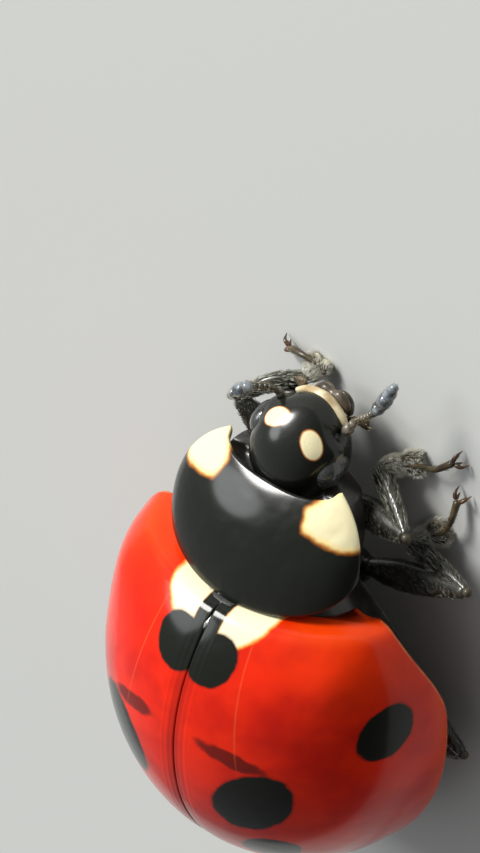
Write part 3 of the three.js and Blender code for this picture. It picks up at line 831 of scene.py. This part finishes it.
FEELER_RADII = [(0.075, 0.085), (0.055, 0.065), (0.04, 0.048), (0.04, 0.048), (0.04, 0.05), (0.042, 0.052)]
FEELER_RADII += [(0.045, 0.056), (0.05, 0.066), (0.075, 0.105), (0.105, 0.115), (0.105, 0.07)]
CLUB_START = 8


def head_shape(points, directions):
    """The skull's hills and hollows, over a flat underside."""
    folded = points.copy()
    folded[..., 0] = np.abs(folded[..., 0])
    lift = sum(height * bump(folded, centre, radius) for height, centre, radius in HEAD_HILLS)
    moved = points + lift[..., None] * unit(directions / HEAD_HALF)
    chin = CHIN_Z - HEAD_CENTRE[2]
    moved[..., 2] = np.maximum(moved[..., 2], chin + 0.04 * (moved[..., 2] - chin))
    return turned(moved)


def make_head():
    skull = blob((0, 0, 0), HEAD_HALF, 90, 120, head_shape)
    widths, depths = [0.035, 0.06, 0.07, 0.06, 0.035], [0.04, 0.07, 0.085, 0.07, 0.04]
    plate = Limb(turned(CLYPEUS), widths, depths, steps=60)
    piece("head_skull", [(*skull, 0), (*plate.mesh(), 1)], [HEAD, LIP], "black", "head")
    for name, side in SIDES:
        eye = blob(EYE_PLACE * [side, 1, 1], EYE_HALF, 40, 56, lambda points, _: turned(points))
        plain_piece(f"compound_eye_{name}", eye, EYE, "eye", f"eye_{name}")


def notched_lip(points, _):
    notch = 0.05 * hill(points[..., 0] - LIP_CENTRE[0], 0.1) * (points[..., 1] < -3.6)
    return points + xyz(0, notch, 0)


def make_mouth():
    lip = blob(LIP_CENTRE, LIP_HALF, 30, 40, notched_lip)
    plain_piece("labrum_plate", lip, MOUTH, "mouth", "labrum")
    for name, side in SIDES:
        path = np.array(JAW_MIDDLE) + side * np.outer(JAW_SPREAD, [1, 0, 0])
        jaw = Limb(path, [0.06, 0.065, 0.045, 0.012])
        plain_piece(f"jaw_{name}", jaw.mesh(), MOUTH, "mouth", f"mandible_{name}")


def beads(path, cuts, radii):
    """Jointed segments along a path: each is a Limb between two cuts, widening towards its end."""
    made = []
    for (start, end), (narrow, wide) in zip(zip(cuts, cuts[1:]), radii):
        overlap = 0.12 * (end - start)
        stretch = curve(path, np.linspace(max(0, start - overlap), min(1, end + overlap), 5))
        widths = [narrow * 0.85, narrow, wide, wide * 0.92]
        made.append(Limb(stretch, widths, steps=16, sides=20, ends=(0.8, 0.8)))
    return made


def make_palps(coat):
    for name, path in PALPS.items():
        limbs = beads(path, [0.0, 0.3, 0.62], [(0.045, 0.06), (0.05, 0.065)])
        stretch = curve(path, np.linspace(0.58, 1.0, 5))
        widths, depths = [0.05, 0.1, 0.14, 0.15], [0.05, 0.06, 0.05, 0.03]
        limbs.append(Limb(stretch, widths, depths, steps=24, ends=(0.6, 0.4)))
        parts = [(*limb.mesh(), 0) for limb in limbs]
        piece(f"palp_{name}_jointed", parts, [MOUTH], "mouth", f"palp_{name}")
        for limb in limbs:
            coat.on_limb(limb, 26, 0.06, 0.004)


def make_feelers(coat):
    for name, path in FEELERS.items():
        limbs = beads(path, FEELER_CUTS, FEELER_RADII)
        parts = [(*limb.mesh(), int(k >= CLUB_START)) for k, limb in enumerate(limbs)]
        piece(f"feeler_{name}", parts, [FEELER, CLUB_WITH_PAINTED_SHEEN], "feeler", f"antenna_{name}")
        for k, limb in enumerate(limbs):
            coat.on_limb(limb, 36 if k < CLUB_START else 70, 0.045, 0.003, 0.8)


# ---- Legs ----

HIPS = {"fore": (0.42, -2.0, 0.56), "mid": (0.66, -0.78, 0.54), "hind": (0.82, 0.3, 0.54)}
# Knee and ankle, then the plan places of the pads' end and the claws.
LEGS = {
    "fore_left": ((1.24, -3.11, 0.95), (0.5, -3.45, 0.32), (0.46, -3.7), (0.99, -3.66)),
    "fore_right": ((-1.9, -2.3, 0.92), (-0.87, -2.6, 0.33), (-1.5, -2.93), (-2.1, -3.34)),
    "mid_left": ((2.46, -0.32, 0.64), (1.9, 0.36, 0.3), (2.1, 0.68), (2.42, 1.06)),
    "mid_right": ((-2.78, -1.56, 0.58), (-1.48, -1.5, 0.3), (-1.96, -1.92), (-2.19, -2.66)),
    "hind_left": ((2.64, 1.42, 0.64), (2.05, 2.42, 0.3), (2.24, 2.88), (2.52, 3.32)),
    "hind_right": ((-2.85, 1.56, 0.62), (-1.62, 2.22, 0.3), (-1.46, 2.7), (-1.54, 3.24)),
}
HIP_HALF = (0.33, 0.29, 0.23)
KNEE_RADIUS = 0.075
SHIN_BOW = {"fore_left": 0.1}  # the other shins bow by less
THIGH_WIDTHS = [0.1, 0.18, 0.225, 0.225, 0.2, 0.15, 0.1]
THIGH_DEPTHS = [0.1, 0.14, 0.16, 0.16, 0.14, 0.11, 0.08]
SHIN_WIDTHS = [0.085, 0.1, 0.125, 0.145, 0.15, 0.135]
PAD_HAIR = 0.0048  # thickness
UNDER_TURNS = (np.pi * 0.8, np.pi * 2.2)  # the lower side of a limb, and a little more


def make_thigh(name, hip, knee, plane, coat):
    way = unit(knee - hip)
    start = hip + way * 0.2
    path = [start, mix(start, knee, 0.5), knee]
    thigh = Limb(path, THIGH_WIDTHS, THIGH_DEPTHS, up=plane, steps=60, sides=32)
    ring = Limb([hip, hip + way * 0.32, hip + way * 0.42], [0.13, 0.15, 0.1], up=plane, steps=20)
    joint = blob(knee + way * 0.01, (KNEE_RADIUS,) * 3, 16, 20)
    parts = [(*thigh.mesh(), 0), (*ring.mesh(), 0), (*joint, 1)]
    piece(f"thigh_{name}", parts, [LEG, MEMBRANE], "leg", f"femur_{name}")
    coat.on_limb(thigh, 620, 0.07, 0.004, 0.82, (0.08, 0.96), twist=0.45)


def make_shin(name, hip, knee, ankle, plane, coat, pad_coat):
    """A slightly bowed shin with two spurs at the ankle."""
    way = unit(ankle - knee)
    outward = unit(mix(knee, ankle, 0.5) - mix(hip, knee, 0.5))
    bow = (outward - np.dot(outward, way) * way) * SHIN_BOW.get(name, 0.03)
    path = [knee, mix(knee, ankle, 0.5) + bow, ankle]
    shin = Limb(path, SHIN_WIDTHS, np.array(SHIN_WIDTHS) * 0.75, up=plane, steps=50)
    parts = [(*shin.mesh(), 0)]
    for side in (-1, 1):
        root = ankle - way * 0.05 + np.cross(plane, way) * side * 0.05
        spur = Limb([root, root + way * 0.06, root + way * 0.13], [0.016, 0.01, 0.003], steps=8, sides=8)
        parts.append((*spur.mesh(), 1))
    piece(f"shin_{name}", parts, [LEG, CLAW], "leg", f"tibia_{name}")
    coat.on_limb(shin, 620, 0.1, 0.0042, 0.7, (0.05, 0.98), twist=0.2)
    pad_coat.on_limb(shin, 100, 0.15, 0.0045, 0.86, (0.1, 0.95), twist=0.1)


def make_claws(knuckle, heading):
    """Two curved claws, each with a tooth at its root."""
    wide = leftward(heading)
    claws = []
    for side in (-1, 1):
        root = knuckle + wide * side * 0.03
        bow = root + heading * 0.09 + wide * side * 0.06 + [0, 0, -0.01]
        tip = root + heading * 0.15 + wide * side * 0.09 + [0, 0, -0.12]
        claws.append(Limb([root, bow, tip], [0.04, 0.034, 0.02, 0.004], steps=20, sides=14))
        tooth = root + heading * 0.06 + wide * side * 0.03 + [0, 0, -0.1]
        claws.append(Limb([root, mix(root, tooth, 0.5), tooth], [0.03, 0.02, 0.005], steps=12, sides=12))
    return claws


def make_foot(name, ankle, pads_end, toe, coat, pad_coat):
    """A padded first segment, two padded lobes, and a slender claw segment, with its soles at the floor."""
    flat = unit(raised(pads_end - ankle[:2], 0))
    half_way = raised(mix(ankle[:2], pads_end, 0.5), 0.17)
    path = [ankle, mix(ankle, half_way, 0.5), half_way]
    padded = [Limb(path, [0.06, 0.1, 0.13, 0.12], [0.05, 0.06, 0.07, 0.05])]
    for side in (-1, 1):
        start = half_way - flat * 0.03
        end = raised(pads_end, 0.1) + leftward(flat) * side * 0.07
        middle = mix(start, end, 0.5) + leftward(flat) * side * 0.05
        padded.append(Limb([start, middle, end], [0.05, 0.085, 0.095, 0.07], [0.05, 0.055, 0.055, 0.035]))
    heading = unit(raised(toe - pads_end, 0))
    wide = leftward(heading)
    sway = wide * 0.06 * np.sign(np.dot(wide, flat))
    rise = raised(mix(pads_end, toe, 0.45), 0.2) + sway
    knuckle = raised(toe, 0.14)
    path = [half_way + [0, 0, 0.03], raised(pads_end, 0.17), rise, knuckle]
    stalk = Limb(path, [0.032, 0.036, 0.045, 0.06])
    parts = [(*limb.mesh(), 0) for limb in (*padded, stalk)]
    parts += [(*claw.mesh(), 1) for claw in make_claws(knuckle, heading)]
    for limb in padded:
        sole = raised(limb.centres[len(limb.centres) * 2 // 3], 0.06)
        parts.append((*blob(sole, (0.09, 0.09, 0.055), 14, 20, pole="z"), 2))
    piece(f"foot_{name}", parts, [FOOT, CLAW, PAD], "foot", f"tarsus_{name}")
    for limb in padded:
        pad_coat.on_limb(limb, 420, 0.12, PAD_HAIR, 0.35, turns=UNDER_TURNS)
        pad_coat.on_limb(limb, 300, 0.1, PAD_HAIR, 0.55)
        coat.on_limb(limb, 120, 0.09, 0.004, 0.7)
    pad_coat.on_limb(padded[0], 700, 0.13, PAD_HAIR, 0.4)
    coat.on_limb(stalk, 90, 0.07, 0.0035, 0.7)


def make_legs(coat, pad_coat):
    for name, places in LEGS.items():
        pair, side = name.split("_")
        hip = np.array(HIPS[pair]) * [dict(SIDES)[side], 1, 1]
        knee, ankle, pads_end, toe = (np.array(place) for place in places)
        plane = unit(np.cross(knee - hip, ankle - knee))
        plane = plane * (1 if plane[2] >= 0 else -1)
        plain_piece(f"hip_{name}", blob(hip, HIP_HALF, 24, 32), LEG, "leg", f"coxa_{name}")
        make_thigh(name, hip, knee, plane, coat)
        make_shin(name, hip, knee, ankle, plane, coat, pad_coat)
        make_foot(name, ankle, pads_end, toe, coat, pad_coat)


# ---- Underside ----

TRUNK_INSET = 0.53  # inside the wing cases' outline
TRUNK_REAR = REAR_LENGTH - TRUNK_INSET
TRUNK_END_Y = APEX_Y - TRUNK_INSET
TRUNK_SIDES = 96
UNDERSIDE = (56, 88)  # the points of a section that lie underneath
NECK_Y = SEAM_Y - 0.36
CHEST_FRONT_Y = SEAM_Y - 0.12
NOSE_Y = SEAM_Y - 1.5  # the front chest starts here
BELLY_RINGS = [WAIST_Y + 0.03, 1.36, 1.92, 2.42, 2.86, 3.26]


def belly_height(y):
    return BELLY_Z + (RIM_Z - BELLY_Z) * smooth((y - 0.8) / 3.2)


def trunk_rings(stations, step):
    """Closed sections of the trunk; step(y, x) raises the belly."""
    turn = full_turn(TRUNK_SIDES)
    up = np.sin(turn)
    rings = []
    for y in stations:
        offset = y - WIDEST_Y
        front = offset < 0
        reach = arch(offset / FRONT_LENGTH, FRONT_POWER) if front else arch(offset / TRUNK_REAR)
        neck = 0.3 * (1 - smooth((y - NECK_Y) / 1.1))
        half = max(0.02, (HALF_WIDTH - TRUNK_INSET) * reach * (1 - neck))
        crown = (HEIGHT - TRUNK_INSET) * arch(offset / (CROWN_LENGTH if front else TRUNK_REAR))
        low = rim_height(y) + 0.02
        rise = max(0.04, RIM_Z + crown - low)
        drop = (low - belly_height(y)) * np.maximum(0, -up) ** 0.75
        taper = 1 + 0.3 * (1 - smooth((y - NECK_Y) / 2.2)) * np.minimum(up, 0)
        z = low + rise * np.maximum(0, up) - drop + step(y, half * np.cos(turn)) * (up < -0.05)
        rings.append(xyz(half * taper * np.cos(turn), y, z))
    return np.array(rings)


def chest_step(y, x):
    """A groove along the middle, and one across behind the front legs."""
    return 0.035 * hill(x, 0.03) * smooth((y + 0.9) / 0.4) + 0.03 * hill(y + 0.42, 0.03)


def tail_step(y, x):
    """Each belly ring starts higher and slopes down to overhang the next."""
    k = max(i for i, start in enumerate(BELLY_RINGS) if y >= start - 1e-9)
    start, end = [*BELLY_RINGS, TRUNK_END_Y][k : k + 2]
    return 0.07 * (1 - (y - start) / (end - start)) - 0.02 + 0 * x


def grow_belly_hairs(coat, rings, count):
    i = RNG.integers(1, len(rings) - 2, count)
    j = RNG.integers(*UNDERSIDE, count)
    root = rings[i, j]
    around = rings[i, (j + 1) % TRUNK_SIDES] - root
    normal = unit(np.cross(around, rings[i + 1, j] - root))
    normal *= np.where(normal[:, 2:3] > 0, -1, 1)
    way = unit(0.45 * normal + [0, 0.9, 0] + RNG.normal(scale=0.12, size=(count, 3)))
    places = np.stack([j / TRUNK_SIDES, i / len(rings)], -1)
    coat.grow(root, way, 0.09, 0.004, np.array([0.0, 1.0, 0.0]), places)


def make_trunk(coat):
    chest = trunk_rings(np.linspace(CHEST_FRONT_Y, WAIST_Y, 60), chest_step)
    plain_piece("chest", loft(chest, flat_ends=True), BELLY, "underside", "thorax")
    stations = []
    for start, end in zip(BELLY_RINGS, [*BELLY_RINGS[1:], TRUNK_END_Y]):
        stations += list(mix(start, end - 0.012, np.linspace(0, 1, 14)))
    tail = trunk_rings(stations, tail_step)
    plain_piece("belly", loft(tail, flat_ends=True), BELLY, "underside", "abdomen")
    grow_belly_hairs(coat, chest, 900)
    grow_belly_hairs(coat, tail, 1300)


def make_prothorax():
    """The front chest: keeled below, and filling the hollow of the pronotum above."""
    turn = np.linspace(0, np.pi, 60)
    rings = []
    for y in np.linspace(NOSE_Y, CHEST_FRONT_Y, 40):
        half = 0.74 * shield_half_width(y)
        top = shield_edge(y) - 0.12
        keel = 0.03 * hill(half * np.cos(turn), 0.16) * (np.sin(turn) > 0.3)
        below = top - (top - BELLY_Z) * np.maximum(0, np.sin(turn)) ** 0.6 - keel
        x = -half * np.cos(np.linspace(0, np.pi, 32)[1:-1])
        roof = np.maximum(top, shield_surface(x, y) - 1.7 * SHIELD_THICKNESS)
        above = mix(top, roof, smooth((y - NOSE_Y) / 0.35))
        around = np.concatenate([half * np.cos(turn), x])
        rings.append(xyz(around, y, np.concatenate([below, above])))
    plain_piece("front_chest", loft(rings, flat_ends=True), BELLY, "underside", "prothorax")


# ---- Camera, lights and floor ----

CAMERA_ANGLES = (-35.334, 34.062, 127.228)  # azimuth, elevation, and the picture's turn from upright
CAMERA_DISTANCE = 177.0
CAMERA_TARGET = (1.395, -2.279, 0.721)
LENS, SENSOR = 522.4, 36.0
CLIP_START, CLIP_END = 0.005, 20.0  # in metres
FLOOR_SIZE = 4000.0
SKY_SIDE = (0.8, -0.2, 0.5)  # the studio is brightest towards here
SKY_DIM, SKY_BRIGHT = 0.05, 0.42
LIGHT_DISTANCE = 420
# The way to each round light, its size, power and colour.
LIGHTS = {
    "key": ((0.5, -0.74, 0.46), 130, 2.05, (1.0, 0.98, 0.94)),
    "side": ((0.62, -0.4, 0.68), 190, 0.5, (0.95, 0.99, 1.0)),
}


def make_camera():
    azimuth, elevation, roll = (math.radians(angle) for angle in CAMERA_ANGLES)
    flat = math.cos(elevation)
    back = Vector((math.sin(azimuth) * flat, -math.cos(azimuth) * flat, math.sin(elevation)))
    level = (-back).cross(Vector((0, 0, 1))).normalized()
    upright = level.cross(-back)
    up = upright * math.cos(roll) + level * math.sin(roll)
    right = (-back).cross(up)
    data = bpy.data.cameras.new("camera")
    data.lens = LENS
    data.sensor_width = SENSOR
    data.clip_start = CLIP_START
    data.clip_end = CLIP_END
    camera = put_in_scene("camera", data)
    turn = Matrix((right, up, back)).transposed().to_4x4()
    place = (Vector(CAMERA_TARGET) + back * CAMERA_DISTANCE) * MM
    camera.matrix_world = Matrix.Translation(place) @ turn
    bpy.context.scene.camera = camera


def make_light(name, way, size, power, colour):
    data = bpy.data.lights.new(name, "AREA")
    data.shape = "DISK"
    data.size = size * MM
    data.energy = power
    data.color = colour
    light = put_in_scene(name, data)
    way = Vector(way).normalized()
    light.location = way * LIGHT_DISTANCE * MM
    light.rotation_mode = "QUATERNION"
    light.rotation_quaternion = way.to_track_quat("Z", "Y")


def make_floor():
    half = FLOOR_SIZE / 2 * MM
    mesh = bpy.data.meshes.new("floor")
    corners = [(-half, -half, 0), (half, -half, 0), (half, half, 0), (-half, half, 0)]
    mesh.from_pydata(corners, [], [(0, 1, 2, 3)])
    mesh.materials.append(Paint("floor_pale", 0.85).finish((0.62, 0.63, 0.61, 1)))
    made = put_in_scene("floor", mesh)


def make_studio():
    """A pale sky, brighter towards one side, and the lights."""
    world = bpy.data.worlds.new("studio")
    bpy.context.scene.world = world
    world.use_nodes = True
    nodes, links = world.node_tree.nodes, world.node_tree.links
    way = nodes.new("ShaderNodeTexCoord").outputs["Generated"]
    facing = nodes.new("ShaderNodeVectorMath")
    facing.operation = "DOT_PRODUCT"
    facing.inputs[1].default_value = Vector(SKY_SIDE).normalized()
    links.new(way, facing.inputs[0])
    ramp = nodes.new("ShaderNodeMapRange")
    ramp.interpolation_type = "SMOOTHSTEP"
    for key, value in {1: -0.8, 2: 1.0, 3: SKY_DIM, 4: SKY_BRIGHT}.items():
        ramp.inputs[key].default_value = value
    links.new(facing.outputs["Value"], ramp.inputs[0])
    background = nodes["Background"]
    background.inputs["Color"].default_value = (0.94, 0.97, 1.0, 1)
    links.new(ramp.outputs[0], background.inputs["Strength"])
    for name, light in LIGHTS.items():
        make_light(name, *light)
    bpy.context.scene.view_settings.view_transform = "Standard"


# ---- Everything together ----

make_camera()
make_floor()
make_studio()
limb_hairs, pad_hairs, head_hairs, belly_hairs = Coat(), Coat(), Coat(), Coat()
make_wing_cases()
make_scutellum()
make_pronotum()
make_head()
make_mouth()
make_palps(head_hairs)
make_feelers(head_hairs)
make_legs(limb_hairs, pad_hairs)
make_trunk(belly_hairs)
make_prothorax()
limb_hairs.finish("hairs_legs", GREY_HAIR, "leg")
pad_hairs.finish("hairs_feet", PALE_HAIR, "foot")
head_hairs.finish("hairs_feelers", GOLD_HAIR, "feeler")
belly_hairs.finish("hairs_belly", GOLD_HAIR, "underside")
